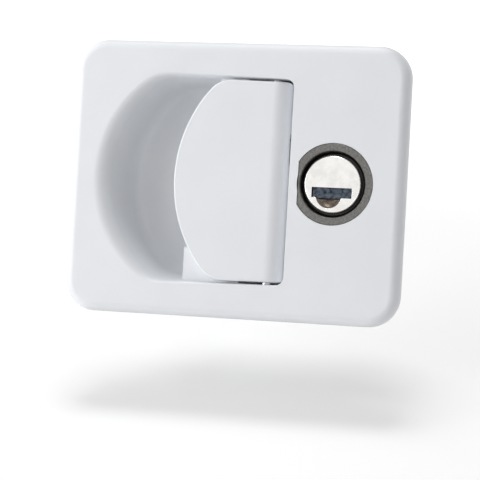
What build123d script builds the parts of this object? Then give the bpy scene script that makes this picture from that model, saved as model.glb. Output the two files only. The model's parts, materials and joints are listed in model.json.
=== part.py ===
"""Recessed pull latch with a key lock, for a door or hatch skin.

The faceplate lies in the XZ plane and looks towards -Y. The plane y = 0 is where the
faceplate's gasket seats on the door skin, and the mechanism lies behind it, at y > 0.
The origin is the centre of that seat. All sizes are in millimetres.
"""

import os
from math import sqrt

from build123d import *

# shared by several pieces
weld = 0.5  # how deep two forms of one moulding run into each other
cut_over = 1.0  # how far a cutting form runs past what it cuts

# faceplate
plate_w = 92.0
plate_h = 74.0
plate_stand = 5.0  # front face above the door skin
plate_corner = 8.5
plate_edge_round = 2.7
plate_skin = 3.0  # wall behind the front face
rim_lift = 0.2  # the moulded rim stops this far above the door skin

# gasket in its groove behind the rim
rim_wall = 1.5
gasket_t = 1.6
gasket_gap = 0.2

# shoulder that drops into the door's cut-out
flange_w = 6.0  # faceplate overlap round the cut-out
shoulder_corner = 6.0
shoulder_wall = 1.8
shoulder_back = 2.6  # y of its rear edge
door_skin = 3.0  # thickness of the door skin that the latch is drawn on
rib_t = 1.4
rib_low = 0.4  # ribs stop this far below the shoulder's edge

# finger recess
recess_margin = 10.8  # from the faceplate's left edge to the recess wall
recess_edge = 9.65  # from the faceplate's top edge to the recess wall
recess_bulge = 5.65  # how much the curved wall's radius exceeds the half height
recess_corner = 10.0
recess_end_corner = 2.3
recess_depth = 15.0
cup_wall = 2.0
floor_round = 2.6
rim_round_w = 4.2  # width of the soft edge at the far left
rim_round_side_w = 1.2  # its width where the straight sides start
rim_round_end_w = 0.1  # its width beside the paddle
rim_round_depth = 4.3
rim_corner_extra = 1.0

# ledges under the paddle's upper and lower edges
ledge_inset = 3.1  # behind the paddle's curved edge
ledge_len = 15.6
ledge_inner = 14.0  # half the opening between the two ledges
ledge_gap = 0.3
ledge_corner = 1.5

# pull paddle
paddle_w = 31.2
paddle_gap = 0.5  # to the recess along the two sides
paddle_end_gap = 0.45  # to the recess at the hinge
paddle_bulge = 10.85
paddle_corner = 8.0
paddle_end_corner = 2.0
paddle_end_over = 0.3  # the corner's arc starts this far past the rolled edge
paddle_t = 3.0
paddle_edge_round = 0.5
knuckle_r = 5.1  # rolled edge round the hinge pin
knuckle_web_round = 2.5
lip_w = 3.4
lip_drop = 1.1
lip_half = 12.4
lever_t = 3.6
lever_half = 4.5
lever_tip_r = 1.8
lever_reach = 4.7  # how far the tip's centre reaches into the bolt
gusset_t = 1.6
gusset_reach = 6.0  # past the knuckle, under the plate
gusset_foot = 2.5  # below the knuckle, on the lever
lever_side_gap = 0.7
lever_slot_gap = 1.2

# hinge pin and its spring
pin_r = 1.5
pin_run_gap = 0.05
pin_fit_gap = 0.01
pin_end = 0.6  # pin stops this far inside the shoulder's outside
pin_end_gap = 0.2
pin_chamfer = 0.3
spring_wire_r = 0.45
spring_coil_r = 2.9
spring_turns = 4.5
spring_start = 5.6  # from the middle of the paddle to the first coil
spring_pitch = 1.45
spring_notch_r = 3.9
spring_hook = 6.0  # from the axis to the leg that crosses the lever
spring_hook_end = 0.5  # height of that leg's end above the paddle's middle
spring_bend = 1.0
spring_foot_gap = 0.35

# slam bolt
bolt_half = 12.0
bolt_t = 7.0
bolt_side_gap = 0.3
bolt_front_gap = 0.4
bolt_back_gap = 0.4
bolt_travel = 7.8
bolt_tail = 15.5  # behind the lever's window
bolt_push_gap = 0.3
nose_inset = 4.0  # the nose ends inside the faceplate's edge
nose_tip_t = 1.3
nose_slope_len = 8.5
nose_len = 8.6  # of the stepped face that bears on the keeper
nose_step = 0.5
bolt_edge = 0.6

# bolt spring
bspring_wire_r = 0.4
bspring_coil_r = 2.4
bspring_len = 26.0
bspring_turns = 9
bspring_bore_r = 3.1
bspring_wall = 3.5
bspring_post_r = 1.6
bspring_post_len = 8.0
bspring_end_gap = 0.1

# mechanism box behind the recess
box_wall = 2.0
bridge_t = 2.2
bridge_w = 1.8
bridge_reach = 5.2  # past the lock's axis
bridge_gap = 0.2
cheek_front = 4.6

# rear cover
cover_t = 1.6
ear_r = 3.6
ear_step = 2.9  # from the box's side to the screw
ear_left_inset = 6.0
ear_right_step = 3.4  # right of the cup
cover_rib_t = 1.2
cover_rib_h = 0.9
cover_rib_inset = 4.0

# screws
screw_r = 1.5
screw_fit_gap = 0.02
screw_head_r = 2.8
screw_head_t = 1.7
screw_head_round = 0.8
screw_tip_chamfer = 0.4
screw_cross_w = 0.9
screw_cross_l = 3.2
screw_cross_depth = 1.0
cover_screw_len = 8.0
clamp_screw_len = 7.2
screw_end_gap = 0.4

# clamp plate behind the door skin
clamp_t = 1.5
clamp_inset = 1.0  # smaller than the faceplate on each side
clamp_corner = 7.5
clamp_clear = 0.6
clamp_screw_inset_x = 11.0  # from the faceplate's edges
clamp_screw_inset_z = 12.0
clamp_boss_r = 3.5

# lock barrel
lock_edge = 19.16  # from the faceplate's right edge to the lock's axis
lock_web = 2.45  # faceplate between the recess and the barrel's flat
barrel_rim_w = 1.9  # of the ring seen round the mouth
barrel_flat_rim = 0.29  # of the same ring at its flat
barrel_edge = 0.2
barrel_head_t = 2.5
barrel_seat_gap = 0.05
barrel_wall = 2.6  # from the plug to the barrel's outside
barrel_back = 6.2
barrel_mouth_gap = 0.6  # round the cap
barrel_mouth_slope_w = 0.75
barrel_mouth_slope = 1.2
barrel_mouth_depth = 2.95
boss_wall = 3.3
boss_back = 2.8

# barrel clip
clip_t = 1.0
clip_w = 3.45
clip_groove_depth = 0.65
clip_arm = 6.5  # length of its two arms, which point to the recess
clip_gap = 0.05

# plug and its cap
plug_r = 6.9
plug_run_gap = 0.05
plug_seat_gap = 0.05
plug_head_step = 0.25
cap_fit_gap = 0.03
cap_wall = 0.42
cap_front_t = 0.6
cap_len = 2.4
cap_edge = 0.35
key_w = 10.8
key_h = 2.7
key_drop = 2.25  # slot's middle below the lock's axis
scallop_r = 3.4
scallop_x = -0.8
scallop_drop = 3.0
scallop_depth = 1.1
scallop_dish_r = 4.42
keyway_w = 9.6
keyway_h = 2.5
keyway_end = 0.2  # behind the last wafer
tail_w = 5.4
tail_len = 2.1
tail_corner = 0.8

# key shutter
shutter_t = 0.4
shutter_w = 10.3
shutter_knuckle_r = 0.62
shutter_pin_r = 0.35
shutter_run_gap = 0.05
shutter_pin_over = 0.7  # pin past each end of the flap
shutter_back = 0.75  # pin's axis behind the cap
shutter_rise = 0.2  # pin's axis above the key slot
shutter_cover = 0.3  # flap's end below the key slot
shutter_room = 0.25

# wafers
wafer_count = 4
wafer_t = 0.8
wafer_gap = 0.05
wafer_pitch = 1.4
wafer_first = 1.75  # behind the plug's shoulder
wafer_h = 4.8
wafer_travel = 0.7
wafer_inset = 0.06
wafer_window_gap = 0.1
wafer_room = 0.3  # round them in the barrel

# cam on the plug's tail
cam_gap = 0.2
cam_t = 1.8
cam_hub_r = 5.0
cam_hole_gap = 0.05
cam_arm_half = 1.4
finger_in = 5.9
finger_out = 8.1
finger_end_gap = 0.9
pocket_gap = 0.4
pocket_floor = 2.4
washer_r = 3.0
washer_t = 0.5
washer_gap = 0.1
washer_bore_gap = 0.1
cam_screw_r = 1.25
cam_screw_head_r = 2.7
cam_screw_head_t = 1.5
cam_screw_len = 3.0
cam_screw_end_gap = 0.2
cam_screw_round = 0.7
cam_screw_slot_l = 4.0
cam_screw_slot_w = 0.8
cam_screw_slot_depth = 0.7

# radii of the lock that follow from the plug
plug_head_r = plug_r + plug_head_step
cap_r = plug_head_r + cap_fit_gap + cap_wall
barrel_mouth_inner_r = cap_r + barrel_mouth_gap
barrel_mouth_r = barrel_mouth_inner_r + barrel_mouth_slope_w
barrel_head_r = barrel_mouth_r + barrel_rim_w
barrel_flat = barrel_mouth_r + barrel_flat_rim
barrel_r = plug_r + barrel_wall
clip_groove_r = barrel_r - clip_groove_depth
clip_r = clip_groove_r + clip_w

# places that follow from the sizes above
front = -plate_stand
rim_back = -rim_lift
skin_back = front + plate_skin
shoulder_w = plate_w - 2 * flange_w
shoulder_h = plate_h - 2 * flange_w
lock_x = plate_w / 2 - lock_edge
recess_right = lock_x - barrel_flat - lock_web
recess_left = recess_margin - plate_w / 2
recess_half = plate_h / 2 - recess_edge
floor_front = front + recess_depth
floor_back = floor_front + cup_wall
paddle_right = recess_right - paddle_end_gap
paddle_left = paddle_right - paddle_w
paddle_half = recess_half - paddle_gap
paddle_back = front + paddle_t
hinge_x = paddle_right - knuckle_r
hinge_y = front + knuckle_r
ledge_front = paddle_back + ledge_gap
ledge_left = paddle_left + ledge_inset
bolt_front = floor_back + bolt_front_gap
bolt_back = bolt_front + bolt_t
cover_front = bolt_back + bolt_back_gap
tip_y = bolt_front + lever_reach
window_left = hinge_x - lever_t / 2 - bolt_push_gap
window_right = hinge_x + lever_t / 2 + bolt_travel + bolt_push_gap
bolt_left = window_left - bolt_tail
bolt_right = plate_w / 2 - nose_inset
bspring_right = window_left - bspring_wall
bspring_left = bspring_right - bspring_len
bspring_y = (bolt_front + bolt_back) / 2
box_left = bspring_left - box_wall
box_right = lock_x + bridge_reach
box_half = bolt_half + bolt_side_gap + box_wall
cup_right = recess_right + cup_wall
ear_z = box_half + ear_step
ear_places = [
    (x, side * ear_z)
    for x in (box_left + ear_left_inset, cup_right + ear_right_step)
    for side in (-1, 1)
]
clamp_front = door_skin
clamp_back = clamp_front + clamp_t
clamp_places = [
    (i * (plate_w / 2 - clamp_screw_inset_x), k * (plate_h / 2 - clamp_screw_inset_z))
    for i in (-1, 1)
    for k in (-1, 1)
]
head_back = front + barrel_head_t
mouth_floor = front + barrel_mouth_depth
cap_back = front + cap_len
plug_front = front + cap_front_t
tail_back = barrel_back + tail_len
cam_front = barrel_back + cam_gap
cam_back = cam_front + cam_t
finger_back = bolt_back - pocket_floor - finger_end_gap
shutter_y = plug_front + shutter_back
shutter_z = -key_drop + key_h / 2 + shutter_rise
shutter_drop = key_h + shutter_cover


def at_y(y):
    """Drawing plane at depth y, seen from the front: its x is X and its y is Z."""
    return Plane.XZ.offset(-y)


def slab(sketch, y_front, y_back):
    """A sketch, as seen from the front, made solid from y_front to y_back."""
    return extrude(at_y(y_back) * sketch, amount=y_back - y_front)


def rect(x_low, x_high, z_low, z_high):
    """A rectangle between two corners, as seen from the front."""
    middle = ((x_low + x_high) / 2, (z_low + z_high) / 2)
    return Pos(*middle) * Rectangle(x_high - x_low, z_high - z_low)


def disc(radius, y_front, y_back, x=0.0, z=0.0):
    """A round bar along Y."""
    return slab(Pos(x, z) * Circle(radius), y_front, y_back)


def along_z(radius, z_low, z_high, x, y):
    """A round bar along Z."""
    return Pos(x, y, (z_low + z_high) / 2) * Cylinder(radius, z_high - z_low)


def write(name, shape):
    """Save one sub-part under its own name."""
    shape.label = name
    export_step(shape, f"parts/{name}.step")


def bowed_outline(left, half_left, half_right, bulge, corner, right, end_corner):
    """A closed outline with a bowed left edge, rounded into two nearly level sides."""
    bow = half_left + bulge
    middle = left + bow
    corner_z = half_left - corner
    corner_x = middle - sqrt((bow - corner) ** 2 - corner_z**2)
    scale = bow / (bow - corner)
    touch = (middle + (corner_x - middle) * scale, corner_z * scale)
    way = Vector(touch[0] - corner_x, touch[1] - corner_z).normalized()
    half_way = (way + Vector(0, 1)).normalized() * corner
    bend = (corner_x + half_way.X, corner_z + half_way.Y)
    slant = end_corner * (1 - sqrt(0.5))

    def mirrored(point):
        return (point[0], -point[1])

    side = (corner_x, half_left)
    end = (right - end_corner, half_right)
    turn = (right - slant, half_right - slant)
    down = (right, half_right - end_corner)
    edges = [
        ThreePointArc(mirrored(touch), (left, 0), touch),
        ThreePointArc(touch, bend, side),
        Line(side, end),
        ThreePointArc(end, turn, down),
        Line(down, mirrored(down)),
        ThreePointArc(mirrored(down), mirrored(turn), mirrored(end)),
        Line(mirrored(end), mirrored(side)),
        ThreePointArc(mirrored(side), mirrored(bend), mirrored(touch)),
    ]
    return make_face(edges)


def recess_outline(soft=0.0):
    """The recess at its wall (soft = 0) or at the outside of its soft rim (soft = 1)."""
    return bowed_outline(
        recess_left - soft * rim_round_w,
        recess_half + soft * rim_round_side_w,
        recess_half + soft * rim_round_end_w,
        recess_bulge - soft * rim_round_side_w,
        recess_corner + soft * rim_corner_extra,
        recess_right,
        recess_end_corner,
    )


def paddle_outline():
    return bowed_outline(
        paddle_left,
        paddle_half,
        paddle_half,
        paddle_bulge,
        paddle_corner,
        paddle_right + paddle_end_over,
        paddle_end_corner,
    )


def ledge_rect(side):
    """One of the two ledges, running on into the recess wall."""
    far = recess_half + cup_wall / 2
    low, high = sorted((side * ledge_inner, side * far))
    return rect(ledge_left, ledge_left + ledge_len, low, high)


def recess_space():
    """The hollow of the recess, from its soft rim to its rounded floor."""
    sections = []
    for degrees in (0, 22.5, 45, 67.5, 90):
        lean = Vector(1, 0).rotate(Axis.Z, degrees)
        depth = rim_round_depth * (1 - lean.X)
        sections.append(at_y(front + depth) * recess_outline(1 - lean.Y))
    rim = loft(sections)
    wall_top = front + rim_round_depth
    ledges = ledge_rect(-1) + ledge_rect(1)
    rim -= slab(ledges, ledge_front, wall_top)
    low = recess_outline() - ledges
    inner_corners = [
        v
        for v in low.vertices()
        if abs(abs(v.Y) - ledge_inner) < 0.01
    ]
    low = fillet(inner_corners, ledge_corner)
    well = slab(low, wall_top, floor_front)
    well = fillet(well.faces().sort_by(Axis.Y)[-1].edges(), floor_round)
    return rim, well


def d_shape(radius, flat):
    """The lock's outline: a circle with one flat, on its left."""
    return Circle(radius) - rect(-2 * radius, -flat, -radius, radius)


def housing():
    """Faceplate, recess cup, shoulder, lock boss and mechanism box in one moulding."""
    plate = slab(RectangleRounded(plate_w, plate_h, plate_corner), front, rim_back)
    rounded = plate.faces().sort_by(Axis.Y)[0].edges()
    plate = fillet(rounded, plate_edge_round)
    inside = RectangleRounded(
        shoulder_w - 2 * shoulder_wall,
        shoulder_h - 2 * shoulder_wall,
        shoulder_corner - shoulder_wall,
    )
    body = plate - slab(inside, skin_back, rim_back)
    shoulder = RectangleRounded(shoulder_w, shoulder_h, shoulder_corner)
    body += slab(shoulder - inside, rim_back, shoulder_back)

    groove = RectangleRounded(
        plate_w - 2 * rim_wall, plate_h - 2 * rim_wall, plate_corner - rim_wall
    )
    body -= slab(groove - shoulder, -gasket_t, rim_back)

    cup = offset(recess_outline(), amount=cup_wall)
    body += slab(cup, skin_back, floor_back)
    body += disc(barrel_r + boss_wall, skin_back, boss_back, lock_x)
    for x, z in clamp_places:
        body += disc(clamp_boss_r, skin_back, shoulder_back, x, z)

    # stiffening ribs between the cup, the boss and the shoulder
    inner_x = shoulder_w / 2 - shoulder_wall
    rib_back = shoulder_back - rib_low
    for z in (-ledge_inner, 0, ledge_inner):
        rib = rect(-inner_x, recess_left + cup_wall, z - rib_t / 2, z + rib_t / 2)
        body += slab(rib, skin_back, rib_back)
    for side in (-1, 1):
        low, high = sorted((side * barrel_r, side * (shoulder_h / 2 - shoulder_wall)))
        rib = rect(lock_x - rib_t / 2, lock_x + rib_t / 2, low, high)
        body += slab(rib, skin_back, rib_back)

    # mechanism box: two cheeks, the wall behind the spring and a bridge before the bolt
    for side in (-1, 1):
        low, high = sorted((side * (box_half - box_wall), side * box_half))
        body += slab(rect(box_left, cup_right, low, high), floor_front, cover_front)
        body += slab(rect(recess_right, box_right, low, high), cheek_front, cover_front)
    body += slab(
        rect(box_left, bspring_left, -box_half, box_half), floor_front, cover_front
    )
    bridge_back = bolt_front - bridge_gap
    body += slab(
        rect(box_right - bridge_w, box_right, -box_half, box_half),
        bridge_back - bridge_t,
        bridge_back,
    )
    for x, z in ear_places:
        start = floor_front if x < recess_right else skin_back
        body += disc(ear_r, start, cover_front, x, z)
    body += Pos(bspring_left, bspring_y, 0) * Rot(0, 90, 0) * Cylinder(
        bspring_post_r,
        bspring_post_len,
        align=(Align.CENTER, Align.CENTER, Align.MIN),
    )

    rim, well = recess_space()
    body -= rim
    body -= well
    swing = bolt_travel * (floor_back - hinge_y) / (tip_y - hinge_y)
    slot_left = hinge_x - lever_t / 2 - swing - lever_slot_gap
    slot_right = hinge_x + lever_t / 2 + lever_side_gap
    slot_half = lever_half + lever_side_gap
    lever_slot = rect(slot_left, slot_right, -slot_half, slot_half)
    body -= slab(lever_slot, floor_front, floor_back)

    # the lock's seat, the pin's hole and the screw holes
    seat = Pos(lock_x, 0) * d_shape(
        barrel_head_r + barrel_seat_gap, barrel_flat + barrel_seat_gap
    )
    body -= slab(seat, front, head_back)
    body -= disc(barrel_r + barrel_seat_gap, front, cheek_front, lock_x)
    pin_top = shoulder_h / 2 - pin_end + pin_end_gap
    body -= along_z(pin_r + pin_fit_gap, -plate_h / 2, pin_top, hinge_x, hinge_y)
    for x, z in clamp_places:
        end = clamp_back - clamp_screw_len - screw_end_gap
        body -= disc(screw_r + screw_fit_gap, end, shoulder_back, x, z)
    for x, z in ear_places:
        end = cover_front + cover_t - cover_screw_len - screw_end_gap
        body -= disc(screw_r + screw_fit_gap, end, cover_front, x, z)
    return body


def gasket():
    """Flat rubber frame, flush with the seat plane."""
    outer = RectangleRounded(
        plate_w - 2 * (rim_wall + gasket_gap),
        plate_h - 2 * (rim_wall + gasket_gap),
        plate_corner - rim_wall - gasket_gap,
    )
    inner = RectangleRounded(
        shoulder_w + 2 * gasket_gap, shoulder_h + 2 * gasket_gap, shoulder_corner
    )
    return slab(outer - inner, -gasket_t, 0)


def paddle():
    """Flush pull paddle, rolled round the hinge pin, with the lever that pulls the bolt."""
    plate = slab(paddle_outline(), front, paddle_back)
    knuckle = along_z(knuckle_r, -paddle_half, paddle_half, hinge_x, hinge_y)
    # everything right of the hinge lies inside the rolled edge
    plate -= Pos(hinge_x, front, -plate_h) * Box(
        plate_w, plate_w, 2 * plate_h, align=(Align.MIN, Align.CENTER, Align.MIN)
    )
    body = plate + knuckle
    # small web that blends the plate's back into the knuckle
    drop = hinge_y - paddle_back
    reach = sqrt(knuckle_r**2 - drop**2)
    web = Plane.XY.offset(-paddle_half) * make_face(
        Polyline(
            (hinge_x, paddle_back - weld),
            (hinge_x - reach - knuckle_web_round, paddle_back - weld),
            (hinge_x - reach - knuckle_web_round, paddle_back),
            (hinge_x - knuckle_r + weld, hinge_y),
            (hinge_x, hinge_y),
            close=True,
        )
    )
    body += extrude(web, amount=2 * paddle_half, dir=(0, 0, 1))
    body &= slab(paddle_outline(), front, hinge_y + knuckle_r)
    rounded = [
        e
        for e in body.faces().filter_by(Axis.Y).sort_by(Axis.Y)[0].edges()
        if e.bounding_box().max.X < hinge_x + 0.1 and e.length > 1
        and not (e.bounding_box().min.X > hinge_x - 0.1)
    ]
    body = fillet(rounded, paddle_edge_round)

    lip = slab(
        paddle_outline() & rect(paddle_left - cut_over, hinge_x, -lip_half, lip_half),
        paddle_back - weld,
        paddle_back + lip_drop,
    )
    inward = Pos(lip_w, 0) * paddle_outline()
    body += lip - slab(inward, paddle_back - weld, paddle_back + lip_drop)

    # lever, with two gussets up to the plate
    lever = slab(
        rect(hinge_x - lever_t / 2, hinge_x + lever_t / 2, -lever_half, lever_half),
        hinge_y,
        tip_y,
    )
    lever += along_z(lever_tip_r, -lever_half, lever_half, hinge_x, tip_y)
    foot = hinge_y + knuckle_r + gusset_foot
    for z in (-lever_half, lever_half - gusset_t):
        side = Plane.XY.offset(z) * make_face(
            Polyline(
                (hinge_x, foot),
                (hinge_x - knuckle_r - gusset_reach, paddle_back - weld),
                (hinge_x, paddle_back - weld),
                close=True,
            )
        )
        lever += extrude(side, amount=gusset_t, dir=(0, 0, 1))
    body += lever

    # notch for the spring's coil, and the bore for the pin
    notch_low = spring_start - 2 * spring_wire_r
    notch_high = spring_start + spring_turns * spring_pitch + 2 * spring_wire_r
    body -= along_z(spring_notch_r, notch_low, notch_high, hinge_x, hinge_y)
    body -= Pos(hinge_x, paddle_back, notch_low) * Box(
        2 * (knuckle_r + weld),
        3 * knuckle_r,
        notch_high - notch_low,
        align=(Align.CENTER, Align.MIN, Align.MIN),
    )
    body -= along_z(pin_r + pin_run_gap, -plate_h, plate_h, hinge_x, hinge_y)
    return body


def hinge_pin():
    """Plain steel pin, with a small chamfer at each end."""
    end = shoulder_h / 2 - pin_end
    pin = along_z(pin_r, -end, end, hinge_x, hinge_y)
    return chamfer(pin.edges().filter_by(GeomType.CIRCLE), pin_chamfer)


def paddle_spring():
    """Torsion spring on the hinge pin: one leg on the recess floor, one on the lever."""
    height = spring_turns * spring_pitch
    coil = Helix(spring_pitch, height, spring_coil_r)
    near = coil @ 0
    far = coil @ 1
    hook = near - Vector(0, spring_hook, 0)
    hook_end = hook - Vector(0, 0, spring_start - spring_hook_end)
    foot = far - Vector(0, floor_front - spring_foot_gap - hinge_y, 0)
    slack = spring_bend * (1 - sqrt(0.5))
    wire = Wire(
        [
            Line(hook_end, hook - Vector(0, 0, spring_bend)),
            ThreePointArc(
                hook - Vector(0, 0, spring_bend),
                hook + Vector(0, slack, -slack),
                hook + Vector(0, spring_bend, 0),
            ),
            Line(hook + Vector(0, spring_bend, 0), near),
            coil,
            Line(far, foot),
        ]
    )
    profile = Plane(origin=hook_end, z_dir=(0, 0, 1)) * Circle(spring_wire_r)
    spring = sweep(profile, wire, is_frenet=True, transition=Transition.TRANSFORMED)
    return Pos(hinge_x, hinge_y, spring_start) * Rot(0, 0, 180) * spring


def latch_bolt():
    """Slam bolt: a bevelled nose, a window for the lever and a pocket for the cam."""
    body = slab(rect(bolt_left, bolt_right, -bolt_half, bolt_half), bolt_front, bolt_back)
    corners = body.edges().filter_by(Axis.Y)
    body = fillet(corners, bolt_edge)
    bevel = Plane.XY.offset(-bolt_half) * make_face(
        Polyline(
            (bolt_right, bolt_front + nose_tip_t),
            (bolt_right + cut_over, bolt_front + nose_tip_t),
            (bolt_right + cut_over, bolt_back + cut_over),
            (bolt_right - nose_slope_len, bolt_back + cut_over),
            (bolt_right - nose_slope_len, bolt_back),
            close=True,
        )
    )
    body -= extrude(bevel, amount=2 * bolt_half, dir=(0, 0, 1))
    step = rect(bolt_right - nose_len, bolt_right, -bolt_half, bolt_half)
    body -= slab(step, bolt_front, bolt_front + nose_step)
    window_half = lever_half + lever_side_gap
    window = rect(window_left, window_right, -window_half, window_half)
    body -= slab(window, bolt_front, bolt_back)
    body -= Pos(bolt_left, bspring_y, 0) * Rot(0, 90, 0) * Cylinder(
        bspring_bore_r,
        bspring_right - bolt_left,
        align=(Align.CENTER, Align.CENTER, Align.MIN),
    )

    # a quarter ring where the locked cam swings, and a straight run for the free one
    near = finger_in - pocket_gap
    far = sqrt(finger_out**2 + cam_arm_half**2) + pocket_gap
    quarter = (Circle(far) - Circle(near)) & rect(-far, 0, 0, far)
    turned = rect(-far, -near, -cam_arm_half - pocket_gap, 0)
    run_right = cam_arm_half + bolt_travel + pocket_gap
    run = rect(-cam_arm_half - pocket_gap, run_right, near, far)
    pocket = Pos(lock_x, 0) * (quarter + turned + run)
    body -= slab(pocket, bolt_front, bolt_back - pocket_floor)
    return body


def bolt_spring():
    """Compression spring between the box's end wall and the bolt's bore."""
    end = bspring_wire_r + bspring_end_gap
    length = bspring_len - 2 * end
    path = Helix(length / bspring_turns, length, bspring_coil_r)
    profile = Plane(origin=path @ 0, z_dir=path % 0) * Circle(bspring_wire_r)
    coil = Rot(0, 90, 0) * sweep(profile, path, is_frenet=True)
    return Pos(bspring_left + end, bspring_y, 0) * coil


def rear_cover():
    """Screwed plate that closes the mechanism box and guides the bolt's back."""
    outline = rect(box_left, box_right, -box_half, box_half)
    for x, z in ear_places:
        outline += Pos(x, z) * Circle(ear_r)
        reach = box_half - box_wall / 2
        low, high = sorted((z, reach if z > 0 else -reach))
        outline += rect(x - ear_r, x + ear_r, low, high)
    body = slab(outline, cover_front, cover_front + cover_t)
    for z in (-box_half / 2, 0, box_half / 2):
        low = z - cover_rib_t / 2
        left = box_left + cover_rib_inset
        rib = rect(left, box_right - cover_rib_inset, low, low + cover_rib_t)
        back = cover_front + cover_t
        body += slab(rib, back, back + cover_rib_h)
    for x, z in ear_places:
        body -= disc(screw_r + screw_fit_gap, cover_front, cover_front + cover_t, x, z)
    return body


def screw(seat_y, length):
    """A cross-head screw whose head stands on y = seat_y and points to -Y."""
    back = seat_y + screw_head_t
    head = disc(screw_head_r, seat_y, back)
    head = fillet(head.faces().sort_by(Axis.Y)[-1].edges(), screw_head_round)
    half_w = screw_cross_w / 2
    half_l = screw_cross_l / 2
    cross = rect(-half_l, half_l, -half_w, half_w) + rect(-half_w, half_w, -half_l, half_l)
    head -= slab(cross, back - screw_cross_depth, back)
    shank = disc(screw_r, seat_y - length, seat_y)
    shank = chamfer(shank.faces().sort_by(Axis.Y)[0].edges(), screw_tip_chamfer)
    return head + shank


def screw_set(places, seat_y, length):
    return Compound(children=[Pos(x, 0, z) * screw(seat_y, length) for x, z in places])


def clamp_plate():
    """Steel frame that grips the door skin from behind."""
    outline = RectangleRounded(
        plate_w - 2 * clamp_inset, plate_h - 2 * clamp_inset, clamp_corner
    )
    opening = offset(recess_outline(), amount=cup_wall + clamp_clear)
    opening += Pos(lock_x, 0) * Circle(barrel_r + boss_wall + clamp_clear)
    ear_reach = ear_z + ear_r + clamp_clear
    ear_right = cup_right + ear_right_step + ear_r + clamp_clear
    opening += rect(recess_right, ear_right, -ear_reach, ear_reach)
    cheek_reach = box_half + clamp_clear
    opening += rect(recess_right, box_right + clamp_clear, -cheek_reach, cheek_reach)
    body = slab(outline - opening, clamp_front, clamp_back)
    for x, z in clamp_places:
        body -= disc(screw_r + screw_fit_gap, clamp_front, clamp_back, x, z)
    return body


def lock_barrel():
    """Lock body: a flatted head, a sloped mouth round the plug, and slots for the wafers."""
    body = slab(d_shape(barrel_head_r, barrel_flat), front, head_back)
    body = chamfer(body.faces().sort_by(Axis.Y)[0].edges(), barrel_edge)
    body += disc(barrel_r, head_back, barrel_back)
    lean = (barrel_mouth_r - barrel_mouth_inner_r) / barrel_mouth_slope
    mouth = Plane.XY * make_face(
        Polyline(
            (0, front - cut_over),
            (barrel_mouth_r + lean * cut_over, front - cut_over),
            (barrel_mouth_r, front),
            (barrel_mouth_inner_r, front + barrel_mouth_slope),
            (barrel_mouth_inner_r, mouth_floor),
            (0, mouth_floor),
            close=True,
        )
    )
    body -= revolve(mouth, Axis.Y)
    body -= disc(plug_r + plug_run_gap, front, barrel_back)
    low = -key_drop - wafer_h / 2 - wafer_room
    high = -key_drop + wafer_h / 2 + wafer_room
    reach = plug_r + wafer_travel + wafer_room
    room_front = wafer_fronts()[0] - wafer_room
    room_back = wafer_fronts()[-1] + wafer_t + wafer_room
    body -= slab(rect(-reach, reach, low, high), room_front, room_back)
    groove = Circle(barrel_r + cut_over) - Circle(clip_groove_r - clip_gap)
    body -= slab(groove, boss_back, boss_back + clip_t + 2 * clip_gap)
    return Pos(lock_x, 0, 0) * body


def barrel_clip():
    """Open spring clip that holds the barrel from behind the boss."""
    mouth = rect(-clip_r, 0, -clip_groove_r, clip_groove_r)
    shape = Circle(clip_r) - Circle(clip_groove_r) - mouth
    shape -= rect(-clip_r, -clip_arm, -clip_r, clip_r)
    start = boss_back + clip_gap
    return Pos(lock_x, 0, 0) * slab(shape, start, start + clip_t)


def wafer_fronts():
    """The front faces of the wafers, from the mouth of the plug backwards."""
    return [mouth_floor + wafer_first + i * wafer_pitch for i in range(wafer_count)]


def lock_plug():
    """Turning core: keyway, shutter room, wafer slots, and a square tail for the cam."""
    head_end = mouth_floor - plug_seat_gap
    body = disc(plug_head_r, plug_front, head_end)
    body += disc(plug_r, head_end, barrel_back)
    tail = RectangleRounded(tail_w, tail_w, tail_corner)
    body += slab(tail, barrel_back, tail_back)

    keyway_back = wafer_fronts()[-1] + wafer_t + keyway_end
    half_h = keyway_h / 2
    keyway = rect(-keyway_w / 2, keyway_w / 2, -key_drop - half_h, -key_drop + half_h)
    body -= slab(keyway, plug_front, keyway_back)
    room_low = shutter_z - shutter_drop - shutter_room
    room_high = shutter_z + shutter_knuckle_r + shutter_room
    room_back = shutter_y + shutter_drop + shutter_room
    half_w = shutter_w / 2 + shutter_room
    body -= slab(rect(-half_w, half_w, room_low, room_high), plug_front, room_back)
    pin_half = shutter_w / 2 + shutter_pin_over
    pin_slot = rect(-pin_half, pin_half, shutter_z - shutter_pin_r, shutter_z + shutter_pin_r)
    body -= slab(pin_slot, plug_front, shutter_y + shutter_pin_r)

    low = -key_drop - wafer_h / 2 - wafer_gap
    high = -key_drop + wafer_h / 2 + wafer_gap
    for y in wafer_fronts():
        body -= slab(rect(-plug_r, plug_r, low, high), y - wafer_gap, y + wafer_t + wafer_gap)
    dish_y = plug_front + scallop_depth - scallop_dish_r
    body -= Pos(scallop_x, dish_y, -scallop_drop) * Sphere(scallop_dish_r)
    thread_end = tail_back - cam_screw_len - cam_screw_end_gap
    body -= disc(cam_screw_r, thread_end, tail_back)
    return Pos(lock_x, 0, 0) * body


def plug_cap():
    """Bright cap pressed over the plug's head, with the key slot and the scallop."""
    body = disc(cap_r, front, cap_back)
    body = chamfer(body.faces().sort_by(Axis.Y)[0].edges(), cap_edge)
    body -= disc(cap_r - cap_wall, plug_front, cap_back)
    half_h = key_h / 2
    slot = rect(-key_w / 2, key_w / 2, -key_drop - half_h, -key_drop + half_h)
    body -= slab(slot, front, plug_front)
    scallop = Circle(scallop_r) & rect(-scallop_r, scallop_r, -scallop_r, 0)
    hole = slab(Pos(scallop_x, -scallop_drop) * scallop, front, plug_front)
    body -= hole
    return Pos(lock_x, 0, 0) * body


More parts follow.
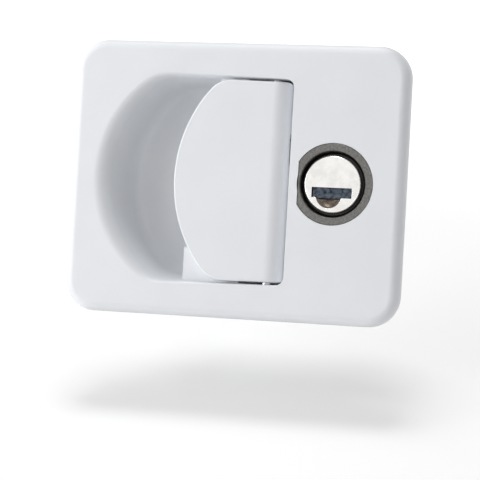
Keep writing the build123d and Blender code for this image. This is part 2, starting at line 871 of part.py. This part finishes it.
def key_shutter():
    """Dust flap behind the key slot, rolled round its pin."""
    tube = Pos(0, shutter_y, shutter_z) * Rot(0, 90, 0) * Cylinder(
        shutter_knuckle_r, shutter_w
    )
    y_low = shutter_y - shutter_knuckle_r
    flap = Pos(0, y_low, shutter_z - shutter_drop) * Box(
        shutter_w, shutter_t, shutter_drop, align=(Align.CENTER, Align.MIN, Align.MIN)
    )
    bore = Pos(0, shutter_y, shutter_z) * Rot(0, 90, 0) * Cylinder(
        shutter_pin_r + shutter_run_gap, shutter_w + cut_over
    )
    return Pos(lock_x, 0, 0) * (tube + flap - bore)


def shutter_pin():
    """Fine pin that the shutter swings on, trapped between the plug and its cap."""
    length = shutter_w + 2 * (shutter_pin_over - shutter_run_gap)
    pin = Rot(0, 90, 0) * Cylinder(shutter_pin_r - pin_fit_gap, length)
    return Pos(lock_x, shutter_y, shutter_z) * pin


def wafer(y):
    """One flat tumbler with a window for the key."""
    shape = Circle(plug_r - wafer_inset) & rect(
        -plug_r, plug_r, -key_drop - wafer_h / 2, -key_drop + wafer_h / 2
    )
    half_h = keyway_h / 2 + wafer_window_gap
    half_w = keyway_w / 2 + wafer_window_gap - wafer_travel
    shape -= rect(-half_w, half_w, -key_drop - half_h, -key_drop + half_h)
    return Pos(lock_x, 0, 0) * slab(shape, y, y + wafer_t)


def wafer_set(first):
    return Compound(children=[wafer(y) for y in wafer_fronts()[first::2]])


def lock_cam():
    """Cam on the plug's tail: its bent finger stands in the bolt's pocket."""
    plate = Circle(cam_hub_r) + rect(-cam_arm_half, cam_arm_half, 0, finger_out)
    hole_w = tail_w + 2 * cam_hole_gap
    plate -= RectangleRounded(hole_w, hole_w, tail_corner)
    body = slab(plate, cam_front, cam_back)
    finger = rect(-cam_arm_half, cam_arm_half, finger_in, finger_out)
    body += slab(finger, cam_front, finger_back)
    return Pos(lock_x, 0, 0) * body


def cam_washer():
    ring = Circle(washer_r) - Circle(cam_screw_r + washer_bore_gap)
    start = tail_back + washer_gap
    return Pos(lock_x, 0, 0) * slab(ring, start, start + washer_t)


def cam_screw():
    """Button-head screw in the plug's tail."""
    seat = tail_back + washer_gap + washer_t
    top = seat + cam_screw_head_t
    head = disc(cam_screw_head_r, seat, top)
    head = fillet(head.faces().sort_by(Axis.Y)[-1].edges(), cam_screw_round)
    slot = Rectangle(cam_screw_slot_l, cam_screw_slot_w)
    head -= slab(slot, top - cam_screw_slot_depth, top)
    shank = disc(cam_screw_r - screw_fit_gap, tail_back - cam_screw_len, seat)
    return Pos(lock_x, 0, 0) * (head + shank)


os.makedirs("parts", exist_ok=True)
write("housing", housing())
write("gasket", gasket())
write("paddle", paddle())
write("hinge_pin", hinge_pin())
write("paddle_spring", paddle_spring())
write("latch_bolt", latch_bolt())
write("bolt_spring", bolt_spring())
write("rear_cover", rear_cover())
write("cover_screws", screw_set(ear_places, cover_front + cover_t, cover_screw_len))
write("clamp_plate", clamp_plate())
write("clamp_screws", screw_set(clamp_places, clamp_back, clamp_screw_len))
write("lock_barrel", lock_barrel())
write("barrel_clip", barrel_clip())
write("lock_plug", lock_plug())
write("plug_cap", plug_cap())
write("key_shutter", key_shutter())
write("shutter_pin", shutter_pin())
write("wafers_left", wafer_set(0))
write("wafers_right", wafer_set(1))
write("lock_cam", lock_cam())
write("cam_washer", cam_washer())
write("cam_screw", cam_screw())
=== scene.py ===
# %% [markdown]
# # A white recessed pull latch, dressed for its portrait
#
# The latch sits in a cupboard or locker door. A flat faceplate covers the cut-out, a finger
# goes into the hollow on the left and pulls the hinged paddle, and a small round key lock
# stands on the right. Behind the door skin are a clamp plate, a black slam bolt and a cover.
#
# The pieces arrive already built to size and already in place. This notebook rounds off
# their crisp edges, moulds the recess a little further, copies the springs and gives every
# surface its finish. The pieces are in metres, with +Z up, +X to the right and the front
# facing -Y.

# %% Load the frame and measure it
import json
import math

import bmesh
import bpy
from mathutils import Matrix, Vector

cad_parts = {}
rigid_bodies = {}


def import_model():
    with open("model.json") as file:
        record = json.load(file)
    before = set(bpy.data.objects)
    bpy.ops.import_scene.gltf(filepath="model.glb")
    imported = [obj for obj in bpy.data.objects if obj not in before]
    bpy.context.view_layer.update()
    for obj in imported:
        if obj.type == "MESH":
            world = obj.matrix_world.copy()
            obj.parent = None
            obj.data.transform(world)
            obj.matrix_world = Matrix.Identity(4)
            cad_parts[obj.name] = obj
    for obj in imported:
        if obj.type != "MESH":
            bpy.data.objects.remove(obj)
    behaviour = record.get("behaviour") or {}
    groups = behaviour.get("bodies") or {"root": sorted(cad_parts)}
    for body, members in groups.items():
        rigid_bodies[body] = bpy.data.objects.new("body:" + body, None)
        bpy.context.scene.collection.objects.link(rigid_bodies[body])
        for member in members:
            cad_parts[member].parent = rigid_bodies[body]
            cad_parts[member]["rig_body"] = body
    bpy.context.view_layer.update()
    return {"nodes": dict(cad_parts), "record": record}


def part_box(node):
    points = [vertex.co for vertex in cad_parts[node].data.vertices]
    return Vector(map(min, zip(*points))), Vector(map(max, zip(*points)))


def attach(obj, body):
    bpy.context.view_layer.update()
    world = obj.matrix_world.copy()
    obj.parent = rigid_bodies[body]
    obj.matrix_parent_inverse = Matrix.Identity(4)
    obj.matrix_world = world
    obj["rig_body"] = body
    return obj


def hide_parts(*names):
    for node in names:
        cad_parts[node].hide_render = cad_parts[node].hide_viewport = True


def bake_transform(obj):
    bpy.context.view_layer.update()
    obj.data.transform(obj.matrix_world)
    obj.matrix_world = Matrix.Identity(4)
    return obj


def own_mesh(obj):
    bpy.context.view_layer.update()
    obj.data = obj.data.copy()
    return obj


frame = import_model()
scene = bpy.context.scene
MM = 0.001
print("pieces in the frame:", len(frame["nodes"]))


def joint(name):
    """A joint of the record, by its name."""
    return next(j for j in frame["record"]["behaviour"]["joints"] if j["name"] == name)


# %% [markdown]
# ## Shader maths as plain sums
#
# A finish is a network of small nodes. Written node by node it is hard to read, so one class
# wraps an output socket and lets Python's own operators add the Math nodes: `mask - 0.5` or
# `grain * 0.3` reads like the sum it is. A second class stands for one finish and adds any
# other node with a single method.

# %% A wrapper for sockets and one for finishes
class Wire:
    """One output socket that can be added, subtracted and multiplied."""

    def __init__(self, finish, socket):
        self.finish = finish
        self.socket = socket

    def maths(self, operation, first, second=0.0):
        values = {0: first, 1: second}
        return self.finish.add("ShaderNodeMath", {"operation": operation}, values)

    def __add__(self, other):
        return self.maths("ADD", self, other)

    def __sub__(self, other):
        return self.maths("SUBTRACT", self, other)

    def __mul__(self, other):
        return self.maths("MULTIPLY", self, other)

    __radd__ = __add__

    def wave(self):
        """The sine of the value."""
        return self.maths("SINE", self)

    def between(self, low, high):
        """0 at low, 1 at high, and held to that range."""
        return self.finish.add(
            "ShaderNodeMapRange",
            {"clamp": True, "interpolation_type": "SMOOTHSTEP"},
            {"Value": self, "From Min": low, "From Max": high},
        )


class Finish:
    """One material, with a principled shader that its sums feed."""

    def __init__(self, name, metallic=0.0, coat=0.0):
        self.material = bpy.data.materials.new(name)
        self.material.use_nodes = True
        self.tree = self.material.node_tree
        self.shader = self.tree.nodes["Principled BSDF"]
        self.shader.inputs["Metallic"].default_value = metallic
        self.shader.inputs["Coat Weight"].default_value = coat
        self.place = self.add("ShaderNodeTexCoord", {}, {}, "Object")

    def add(self, kind, settings, values, output=0):
        """A node of that kind, its settings made first, then its sockets filled or linked."""
        node = self.tree.nodes.new(kind)
        for key, value in settings.items():
            setattr(node, key, value)
        for key, value in values.items():
            if isinstance(value, Wire):
                self.tree.links.new(value.socket, node.inputs[key])
            else:
                node.inputs[key].default_value = value
        return Wire(self, node.outputs[output])

    def feed(self, name, value):
        """Give one of the shader's sockets a number, a colour or a wire."""
        if isinstance(value, Wire):
            self.tree.links.new(value.socket, self.shader.inputs[name])
        else:
            self.shader.inputs[name].default_value = value

    def moved(self, location=(0, 0, 0), scale=(1, 1, 1)):
        """Object coordinates, centred or stretched by a Mapping node."""
        return self.add(
            "ShaderNodeMapping",
            {"vector_type": "POINT"},
            {"Vector": self.place, "Location": location, "Scale": scale},
        )

    def length(self, vector):
        """How far a point of a vector field lies from its origin."""
        return self.add("ShaderNodeVectorMath", {"operation": "LENGTH"}, {0: vector}, "Value")

    def from_axis(self, axis_x):
        """The distance from an axis that runs front to back at that x."""
        return self.length(self.moved(location=(-axis_x, 0, 0), scale=(1, 0, 1)))

    def noise(self, size_mm, detail=2.0, rough=0.5, place=None):
        """Soft noise, from 0 to 1, whose lumps are about size_mm across."""
        return self.add(
            "ShaderNodeTexNoise",
            {},
            {
                "Vector": place or self.place,
                "Scale": 1 / (size_mm * MM),
                "Detail": detail,
                "Roughness": rough,
            },
        )

    def mixed(self, mask, first, second):
        """A colour between two colours."""
        return self.add(
            "ShaderNodeMix",
            {"data_type": "RGBA"},
            {"Factor": mask, 6: first, 7: second},
            2,
        )

    def bumped(self, height, depth_mm):
        """A normal that follows a height whose full range is depth_mm."""
        values = {"Height": height, "Strength": 1.0, "Distance": depth_mm * MM}
        return self.add("ShaderNodeBump", {}, values)


def rgb(red, green, blue):
    """A colour as a paint chart gives it, 0 to 255, turned into linear light."""
    linear = []
    for part in (red, green, blue):
        value = part / 255
        linear.append(value / 12.92 if value <= 0.04045 else ((value + 0.055) / 1.055) ** 2.4)
    return (*linear, 1.0)


def grey(level):
    """An even grey, given in linear light."""
    return (level, level, level, 1.0)


def duller(color, by):
    """A colour with each part multiplied by a number under 1."""
    return (*(part * by for part in color[:3]), 1.0)


# %% [markdown]
# ## White moulded plastic
#
# The faceplate and paddle are a cool white moulding. It isn't glossy: the tool was blasted,
# which leaves a very fine grain that breaks up reflections. Two noises do it. A fine one
# makes the grain as a bump and varies the roughness a little, and a broad faint one keeps
# the large plain areas from looking like paper. A number could do for roughness, but then
# highlights on the rounded edges would be too even.

# %% Moulding finishes
PLASTIC_SHEEN = 0.42


def moulding(name, light, shade, rough, grain_mm, grain_depth):
    finish = Finish(name)
    broad = finish.noise(size_mm=14.0, detail=3.0)
    grain = finish.noise(grain_mm, 3.0, 0.6)
    pores = finish.noise(grain_mm * 2.7, 2.0, 0.5)
    finish.feed("Base Color", finish.mixed(broad.between(0.25, 0.75), shade, light))
    finish.feed("Roughness", rough + (grain - 0.5) * 0.16 + (broad - 0.5) * 0.08)
    height = grain * 0.7 + pores * 0.3
    finish.feed("Normal", finish.bumped(height, grain_depth))
    finish.shader.inputs["Specular IOR Level"].default_value = PLASTIC_SHEEN
    return finish.material


white_plastic = moulding(
    "white moulded plastic", rgb(236, 238, 241), rgb(233, 235, 239), 0.46, 0.42, 0.012
)
cover_plastic = moulding(
    "plain cover plastic", rgb(224, 226, 228), rgb(218, 220, 223), 0.5, 0.6, 0.014
)
print("moulding finishes made")

# %% [markdown]
# ## Rubber and black nylon
#
# The gasket is matt black rubber with a faint bloom. The bolt is black nylon that slides
# every time the door shuts, so it has long fine scratches along X. Stretching a noise along
# one axis with a Mapping node turns its lumps into streaks.

# %% Rubber and nylon
def rubber():
    finish = Finish("black gasket rubber")
    bloom = finish.noise(size_mm=6.0, detail=4.0)
    skin = finish.noise(size_mm=0.35)
    dark = rgb(38, 38, 40)
    finish.feed("Base Color", finish.mixed(bloom.between(0.3, 0.8), dark, rgb(58, 58, 60)))
    finish.feed("Roughness", 0.74 + (bloom - 0.5) * 0.2)
    finish.feed("Normal", finish.bumped(skin, depth_mm=0.02))
    return finish.material


def nylon():
    finish = Finish("black bolt nylon")
    drawn_out = finish.moved(scale=(0.03, 1, 1))
    streaks = finish.noise(size_mm=0.35, detail=3.0, rough=0.6, place=drawn_out)
    broad = finish.noise(size_mm=5.0, detail=3.0)
    worn = streaks.between(0.5, 0.78) * broad.between(0.35, 0.7)
    finish.feed("Base Color", finish.mixed(worn, rgb(42, 42, 44), rgb(84, 84, 86)))
    finish.feed("Roughness", 0.36 + worn * 0.28)
    finish.feed("Normal", finish.bumped(streaks, depth_mm=0.006))
    return finish.material


gasket_rubber = rubber()
bolt_nylon = nylon()
print("rubber and nylon made")

# %% [markdown]
# ## Metals
#
# Bare metal takes its look from what it reflects, so its colour stays even and its
# roughness does the work. Rolled and drawn metal has streaks along one axis, turned metal
# has rings round its axis, and cast metal is mottled. Zinc plate has a faint patchwork of
# crystals, which a Voronoi texture gives. Each is one short function with its own values.

# %% Streaked, mottled and plated metals
CRYSTAL_MM = 2.6


def streaked(name, base, rough, direction, streak_mm, depth_mm=0.003):
    """Drawn, ground or rolled metal with fine lines along one axis."""
    finish = Finish(name, metallic=1.0)
    lines = finish.noise(streak_mm, detail=3.0, rough=0.6, place=finish.moved(scale=direction))
    patches = finish.noise(size_mm=3.5, detail=3.0)
    color = finish.mixed(patches.between(0.3, 0.75), duller(base, 0.8), base)
    finish.feed("Base Color", color)
    finish.feed("Roughness", rough + (lines - 0.5) * 0.22 + (patches - 0.5) * 0.12)
    finish.feed("Normal", finish.bumped(lines, depth_mm))
    return finish.material


def mottled(name, base, dark, rough, lump_mm, depth_mm=0.012, painted_mouth_shade=None):
    """Cast metal: uneven in colour, with a pitted skin, and painted shade in a round mouth."""
    finish = Finish(name, metallic=1.0)
    lumps = finish.noise(lump_mm, detail=4.0, rough=0.6)
    pits = finish.noise(lump_mm * 0.3, detail=3.0, rough=0.6)
    color = finish.mixed(lumps.between(0.3, 0.7), dark, base)
    if painted_mouth_shade:
        axis_x, shade, inner, outer = painted_mouth_shade
        # painted shade: the colour turns to the shade colour inside the mouth, round the cap
        color = finish.mixed(finish.from_axis(axis_x).between(inner, outer), shade, color)
    finish.feed("Base Color", color)
    finish.feed("Roughness", rough + (lumps - 0.5) * 0.25)
    finish.feed("Normal", finish.bumped(pits, depth_mm))
    return finish.material


def zinc_plate(name, base, rough):
    """Sheet steel with bright zinc: a faint patchwork of crystals under rolling lines."""
    finish = Finish(name, metallic=1.0)
    crystals = finish.add(
        "ShaderNodeTexVoronoi",
        {"feature": "F1"},
        {"Vector": finish.place, "Scale": 1 / (CRYSTAL_MM * MM)},
        "Color",
    )
    level = finish.add("ShaderNodeSeparateColor", {}, {"Color": crystals})
    rolled = finish.moved(scale=(0.05, 1, 1))
    lines = finish.noise(size_mm=0.3, detail=3.0, rough=0.6, place=rolled)
    finish.feed("Base Color", finish.mixed(level, duller(base, 0.86), base))
    finish.feed("Roughness", rough + (level - 0.5) * 0.12 + (lines - 0.5) * 0.16)
    finish.feed("Normal", finish.bumped(lines, depth_mm=0.004))
    return finish.material


wire_steel = streaked("spring wire", rgb(196, 197, 200), 0.3, (1, 0.2, 1), 0.2)
pin_steel = streaked("ground pin steel", rgb(206, 207, 210), 0.22, (1, 1, 0.06), 0.2)
screw_steel = streaked("zinc plated screws", rgb(206, 206, 204), 0.32, (1, 0.4, 1), 0.3)
clamp_steel = zinc_plate("zinc plated sheet", rgb(208, 210, 214), 0.34)
cam_steel = streaked("stamped cam steel", rgb(196, 196, 198), 0.34, (1, 1, 0.08), 0.3)
clip_steel = streaked("spring clip steel", rgb(150, 152, 158), 0.34, (1, 1, 0.1), 0.3)
wafer_brass = streaked("stamped brass", rgb(214, 186, 124), 0.3, (1, 1, 0.1), 0.25)
plug_metal = mottled("cast lock plug", rgb(124, 114, 104), rgb(84, 74, 66), 0.34, 0.8)
shutter_metal = mottled(
    "blotchy shutter steel", rgb(92, 100, 110), rgb(34, 40, 50), 0.3, 0.9, 0.008
)
print("metals made:", len(bpy.data.materials))

# %% [markdown]
# ## The cap and the barrel's mouth
#
# The cap over the plug is bright metal that was faced on a lathe. Its fine rings run round
# the lock's own axis, so the pattern is centred there first: the distance from that axis,
# multiplied up and passed through a sine, gives rings of even pitch. A faint noise lets
# them come and go. The same distance paints shade on the cast barrel where it slopes down
# into its mouth, round the cap: its colour there is darkened as a shadow would darken it.

# %% Turned metal
def turned(name, base, rough, axis_x, ring_mm, depth_mm):
    """Faced metal with fine rings round an axis that runs front to back."""
    finish = Finish(name, metallic=1.0)
    rings = (finish.from_axis(axis_x) * (2 * math.pi / (ring_mm * MM))).wave() * 0.5 + 0.5
    cloud = finish.noise(size_mm=2.2, detail=3.0)
    smear = finish.noise(size_mm=0.5, detail=3.0)
    color = finish.mixed(cloud.between(0.25, 0.7), duller(base, 0.88), base)
    finish.feed("Base Color", color)
    finish.feed("Roughness", rough + rings * 0.06 + (smear - 0.5) * 0.14)
    finish.feed("Normal", finish.bumped(rings * cloud, depth_mm))
    return finish.material


# %% The two finishes round the lock's axis
# painted shade: the dark grey painted into the barrel's mouth round the cap
PAINTED_MOUTH_SHADE = rgb(62, 61, 60)
MOUTH_INNER = 8.4 * MM
MOUTH_OUTER = 9.15 * MM
cap_low, cap_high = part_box("plug_cap")
lock_x = (cap_low.x + cap_high.x) / 2
bright_cap = turned("bright turned cap", rgb(244, 242, 239), 0.2, lock_x, 0.22, 0.0012)
barrel_metal = mottled(
    "grey die cast barrel",
    rgb(128, 127, 124),
    rgb(96, 95, 93),
    0.36,
    lump_mm=0.5,
    depth_mm=0.006,
    painted_mouth_shade=(lock_x, PAINTED_MOUTH_SHADE, MOUTH_INNER, MOUTH_OUTER),
)
print("lock axis at", round(lock_x / MM, 2), "mm")

# %% [markdown]
# ## Softened edges
#
# No moulded or stamped edge is truly sharp: each has a tiny round that catches a line of
# light. The pieces come as loose triangles, so a copy is merged first, flat areas are
# joined into single faces, and only then are the edges that turn by more than a set angle
# bevelled. A weighted normal keeps the large flats flat beside those narrow rounds.

# %% A helper that rounds the crisp edges of a copy
MERGE_DISTANCE = 2e-6
FLAT_TURN = math.radians(0.2)
CRISP_TURN = math.radians(35.0)
ROUND_SEGMENTS = 2


def merged(node):
    """A working copy of a piece's mesh, with its loose triangles joined up."""
    shape = bmesh.new()
    shape.from_mesh(frame["nodes"][node].data)
    bmesh.ops.remove_doubles(shape, verts=shape.verts, dist=MERGE_DISTANCE)
    return shape


def new_piece(name, shape, node, material):
    """An object made from a working mesh, which stands for a piece of the frame."""
    mesh = bpy.data.meshes.new(name)
    shape.to_mesh(mesh)
    shape.free()
    mesh.materials.append(material)
    mesh.shade_smooth()
    piece = bpy.data.objects.new(name, mesh)
    scene.collection.objects.link(piece)
    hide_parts(node)
    return piece


def softened(node, material, edge_mm, reshape=None):
    """A merged copy of a piece, with its crisp edges rounded, standing for that piece."""
    shape = merged(node)
    if reshape:
        reshape(shape)
    bmesh.ops.dissolve_limit(
        shape,
        angle_limit=FLAT_TURN,
        verts=shape.verts,
        edges=shape.edges,
        use_dissolve_boundaries=False,
        delimit=set(),
    )
    crisp = [
        edge
        for edge in shape.edges
        if len(edge.link_faces) == 2 and edge.calc_face_angle(0.0) > CRISP_TURN
    ]
    bmesh.ops.bevel(
        shape,
        geom=crisp,
        offset=edge_mm * MM,
        offset_type="OFFSET",
        affect="EDGES",
        segments=ROUND_SEGMENTS,
        profile=0.5,
        clamp_overlap=True,
        material=-1,
    )
    piece = new_piece(node + "_finished", shape, node, material)
    piece.data.set_sharp_from_angle(angle=CRISP_TURN)
    weights = piece.modifiers.new("even flats", "WEIGHTED_NORMAL")
    weights.keep_sharp = True
    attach(piece, frame["nodes"][node]["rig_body"])
    print(node, "rounded edges:", len(crisp), "faces:", len(piece.data.polygons))


def coat(node, material):
    """Give a piece that stays as it came its finish."""
    mesh = frame["nodes"][node].data
    mesh.materials.clear()
    mesh.materials.append(material)


# %% [markdown]
# ## The recess as it was moulded
#
# A moulding needs draft: the curved wall of the finger recess leans inwards as it goes
# down, so it shows as a broad grey band. The two ledges that the paddle rests on are short,
# and the upper one starts further back, out of sight. The frame's housing has an upright
# wall and longer ledges, so its copy is adjusted here by moving vertices: the ledge ends
# slide along the wall, then everything below the soft rim leans in with its depth.

# %% Where the recess lies, and how far its forms move
paddle_low, paddle_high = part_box("paddle")
RECESS_LEFT = -35.2 * MM
RECESS_RIGHT = paddle_high.x + 0.45 * MM
RECESS_HALF = 27.35 * MM
BOW_RADIUS = 33.0 * MM
CORNER_START = -17.3 * MM
WALL_TOP = -0.7 * MM
FLOOR = 10.0 * MM
LEDGE_LEFT = paddle_low.x + 3.1 * MM
LEDGE_LENGTH = 15.6 * MM
LEDGE_INNER = 14.0 * MM
LEDGE_TOP = -1.7 * MM
FOOT_ROUND = 2.7 * MM
CORNER_ROUND = 1.6 * MM
LEAN_CURVED = 3.2 * MM
LEAN_SIDE = 2.0 * MM
LEDGE_SHORTER = 4.4 * MM
UPPER_STEP = 7.6 * MM
SLACK = 0.05 * MM


# %% Adjust the copy's recess
def share(value, low, high):
    """How far a value lies from low to high, held between 0 and 1."""
    return min(max((value - low) / (high - low), 0.0), 1.0)


def in_recess(place):
    """Whether a point is on the recess wall or floor, and not on the cup's outside."""
    bow = math.hypot(place.x - RECESS_LEFT - BOW_RADIUS, place.z)
    return (
        LEDGE_TOP - SLACK < place.y < FLOOR + SLACK
        and bow < BOW_RADIUS + SLACK
        and abs(place.z) < RECESS_HALF + SLACK
        and place.x < RECESS_RIGHT + SLACK
    )


def moulded_recess(shape):
    """Shorten the two ledges, set the upper one back, and lean the wall in."""
    for vert in shape.verts:
        place = vert.co
        if not in_recess(place):
            continue
        along = place.x - LEDGE_LEFT
        by_end = -FOOT_ROUND < along < CORNER_ROUND
        past_end = -FOOT_ROUND < along < LEDGE_LENGTH + FOOT_ROUND
        by_inner = -FOOT_ROUND < abs(place.z) - LEDGE_INNER < CORNER_ROUND
        upper_end = by_end and place.z > LEDGE_INNER - FOOT_ROUND
        if past_end and by_inner:
            place.z += math.copysign(LEDGE_SHORTER, place.z)
        if upper_end:
            place.x += UPPER_STEP
        depth = share(place.y, WALL_TOP, FLOOR)
        curved = share(place.x, LEDGE_LEFT, RECESS_LEFT)
        level = share(place.x, RECESS_RIGHT, CORNER_START)
        place.x += LEAN_CURVED * depth * curved
        place.z *= 1 - LEAN_SIDE / RECESS_HALF * depth * level


# %% [markdown]
# When the paddle is fully open, its hinge side turns close past the recess's rounded
# corners, so its two ends are taken back a little there.

# %% Relief on the paddle
HINGE_X, HINGE_Y = joint("paddle_hinge")["pos_m"][:2]
RELIEF = 0.25 * MM
RELIEF_FULL = paddle_high.x - HINGE_X
RELIEF_START = RELIEF_FULL - 1.5 * MM
RELIEF_FROM = paddle_high.z - 1.0 * MM


def relieved_paddle(shape):
    """Take both ends of the paddle back, most at its hinge side."""
    for vert in shape.verts:
        place = vert.co
        reach = math.hypot(place.x - HINGE_X, place.y - HINGE_Y)
        if place.x > HINGE_X and abs(place.z) > RELIEF_FROM:
            amount = RELIEF * share(reach, RELIEF_START, RELIEF_FULL)
            place.z -= math.copysign(amount, place.z)


# %% [markdown]
# ## Dressing the pieces
#
# Pieces whose edges show get the softened copy, with a round that suits how they are made:
# wide on mouldings, narrow on stampings and turned parts. Screws, springs and the small
# pieces inside the lock keep the shape they came with.

# %% Softened pieces
SOFTENED = {
    "housing": (white_plastic, 0.14, moulded_recess),
    "paddle": (white_plastic, 0.14, relieved_paddle),
    "rear_cover": (cover_plastic, 0.14),
    "latch_bolt": (bolt_nylon, 0.2),
    "clamp_plate": (clamp_steel, 0.12),
    "lock_barrel": (barrel_metal, 0.05),
    "plug_cap": (bright_cap, 0.05),
    "lock_cam": (cam_steel, 0.12),
    "gasket": (gasket_rubber, 0.15),
}
for node, values in SOFTENED.items():
    softened(node, *values)

# %% Pieces that keep their shape
COATED = {
    "hinge_pin": pin_steel,
    "cover_screws": screw_steel,
    "clamp_screws": screw_steel,
    "barrel_clip": clip_steel,
    "lock_plug": plug_metal,
    "key_shutter": shutter_metal,
    "shutter_pin": pin_steel,
    "wafers_left": wafer_brass,
    "wafers_right": wafer_brass,
    "cam_washer": screw_steel,
    "cam_screw": screw_steel,
}
for node, material in COATED.items():
    coat(node, material)
print("coated:", len(COATED))

# %% [markdown]
# ## Springs
#
# On the real latch a spring is the one metal piece that changes its shape. The bolt's coil
# gets shorter as the bolt slides back, and the paddle's coil has one leg on the floor of the
# recess and one on the paddle, so its turns wind up between the two. Here each coil is a
# merged copy in spring wire that keeps the shape it came with: the bolt's goes with the case.

# %% The bolt's coil
coil_low, coil_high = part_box("bolt_spring")
coil_length = coil_high.x - coil_low.x
travel = max(abs(limit) for limit in joint("bolt_slide")["range_m"])
bolt_coil = new_piece("bolt_coil", merged("bolt_spring"), "bolt_spring", wire_steel)
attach(bolt_coil, "case")
(coil_length - travel) / coil_length
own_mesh(bolt_coil)
print("bolt coil:", round(coil_length / MM, 1), "mm, bolt travel", round(travel / MM, 1), "mm")

# %% The paddle's coil
paddle_coil = new_piece("paddle_coil", merged("paddle_spring"), "paddle_spring", wire_steel)
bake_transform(paddle_coil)

# %% [markdown]
# ## Studio
#
# The portrait has a white ground with one soft grey shadow under the latch. A sheet of
# paper lies below it and rises gently to the back. To the camera and to bright metal the
# paper shows a little brighter than it is lit, so it reads as white wherever no shadow
# falls, and no extra light reaches the latch for it. Close round the latch that glow is
# weaker: a painted shade that makes the cast shadow there read darker.

# %% The paper below
PAPER_DROP = 64.0 * MM
PAPER_SLOPE = math.radians(24.0)
PAPER_SIZE = 1600.0 * MM
# painted shade: the glow is dim grey close to the latch and rises to near white further out
PAINTED_SHADE_REACH = 120.0 * MM
WHITE_REACH = 400.0 * MM
PAINTED_SHADE_GLOW = grey(0.27)
WHITE_GLOW = grey(0.9)
PAPER_GREY = grey(0.8)


def paper():
    """One flat sheet below the latch, tilted up to the back."""
    shape = bmesh.new()
    bmesh.ops.create_grid(shape, x_segments=1, y_segments=1, size=PAPER_SIZE / 2)
    tilt = Matrix.Rotation(PAPER_SLOPE, 4, "X")
    bmesh.ops.transform(
        shape, matrix=Matrix.Translation((0, 0, -PAPER_DROP)) @ tilt, verts=shape.verts
    )
    mesh = bpy.data.meshes.new("paper")
    shape.to_mesh(mesh)
    shape.free()
    sheet = bpy.data.objects.new("paper", mesh)
    scene.collection.objects.link(sheet)
    return sheet


def paper_finish():
    """Matt white, with a glow that only the camera and reflections see, dimmed close to the
    latch as a painted shade.
    """
    finish = Finish("white paper")
    camera_ray = finish.add("ShaderNodeLightPath", {}, {}, "Is Camera Ray")
    glossy_ray = finish.add("ShaderNodeLightPath", {}, {}, "Is Glossy Ray")
    far = finish.length(finish.place).between(PAINTED_SHADE_REACH, WHITE_REACH)
    finish.feed("Base Color", PAPER_GREY)
    finish.feed("Roughness", 1.0)
    finish.shader.inputs["Specular IOR Level"].default_value = 0.0
    # painted shade: less glow close to the latch, so its cast shadow reads darker
    finish.feed("Emission Color", finish.mixed(far, PAINTED_SHADE_GLOW, WHITE_GLOW))
    finish.feed("Emission Strength", camera_ray.maths("MAXIMUM", camera_ray, glossy_ray))
    return finish.material


sheet = paper()
sheet.data.materials.append(paper_finish())

# %% [markdown]
# ## Light
#
# Three wide lamps stand round the latch like a tent, well off its axis, so they light the
# faceplate evenly while the rim keeps most of their light out of the recess. The top one
# stands almost in the plate's own plane and draws the bright upper edge. The world fills in
# softly, and is plain white to the camera and to reflections, which bright metal needs.

# %% Lamps and world
WORLD_LEVEL = 0.42
LAMPS = {
    "top": {"place": (-0.06, -0.14, 0.9), "size": 0.3, "power": 3.2},
    "left": {"place": (-0.68, -0.42, 0.0), "size": 0.5, "power": 4.2},
    "low": {"place": (0.42, -0.6, -0.55), "size": 0.5, "power": 4.4},
}


def lamp(name, place, size, power):
    """A square lamp that faces the latch."""
    data = bpy.data.lights.new(name, "AREA")
    data.shape = "SQUARE"
    data.size = size
    data.energy = power
    light = bpy.data.objects.new(name, data)
    light.location = place
    light.rotation_mode = "QUATERNION"
    light.rotation_quaternion = Vector(place).to_track_quat("Z", "Y")
    scene.collection.objects.link(light)


def white_world():
    """White where it is seen, and dimmer as a source of soft light."""
    world = bpy.data.worlds.new("white room")
    scene.world = world
    world.use_nodes = True
    nodes = world.node_tree.nodes
    links = world.node_tree.links
    background = nodes["Background"]
    background.inputs["Color"].default_value = grey(1.0)
    path = nodes.new("ShaderNodeLightPath")
    level = nodes.new("ShaderNodeMapRange")
    level.inputs["To Min"].default_value = 1.0
    level.inputs["To Max"].default_value = WORLD_LEVEL
    links.new(path.outputs["Is Diffuse Ray"], level.inputs["Value"])
    links.new(level.outputs[0], background.inputs["Strength"])


for name, values in LAMPS.items():
    lamp(name, **values)
white_world()

# %% [markdown]
# ## Camera
#
# The photograph was taken from the right of the latch and a touch below its middle, with a
# long lens and the frame turned a little. The three angles make the camera's own axes.

# %% Camera
CAMERA_PLACE = Vector((0.120456, -0.476837, -0.027614))
CAMERA_YAW = math.radians(14.0)
CAMERA_PITCH = math.radians(-1.381)
CAMERA_ROLL = math.radians(3.298)
FOCAL_PIXELS = 1829.9
FRAME_PIXELS = 480
SENSOR = 36.0


def portrait_camera():
    """The camera at the photograph's place, turned by its three angles."""
    ahead = Vector(
        (
            -math.sin(CAMERA_YAW) * math.cos(CAMERA_PITCH),
            math.cos(CAMERA_YAW) * math.cos(CAMERA_PITCH),
            -math.sin(CAMERA_PITCH),
        )
    )
    right = Vector((math.cos(CAMERA_YAW), math.sin(CAMERA_YAW), 0))
    up = right.cross(ahead)
    side = math.cos(CAMERA_ROLL) * right + math.sin(CAMERA_ROLL) * up
    top = -math.sin(CAMERA_ROLL) * right + math.cos(CAMERA_ROLL) * up
    data = bpy.data.cameras.new("portrait")
    data.sensor_width = SENSOR
    data.lens = SENSOR * FOCAL_PIXELS / FRAME_PIXELS
    camera = bpy.data.objects.new("portrait", data)
    turn = Matrix((side, top, -ahead)).transposed()
    camera.matrix_world = Matrix.Translation(CAMERA_PLACE) @ turn.to_4x4()
    scene.collection.objects.link(camera)
    scene.camera = camera


portrait_camera()
scene.view_settings.view_transform = "Standard"

# %% End of the scene
print("scene built")
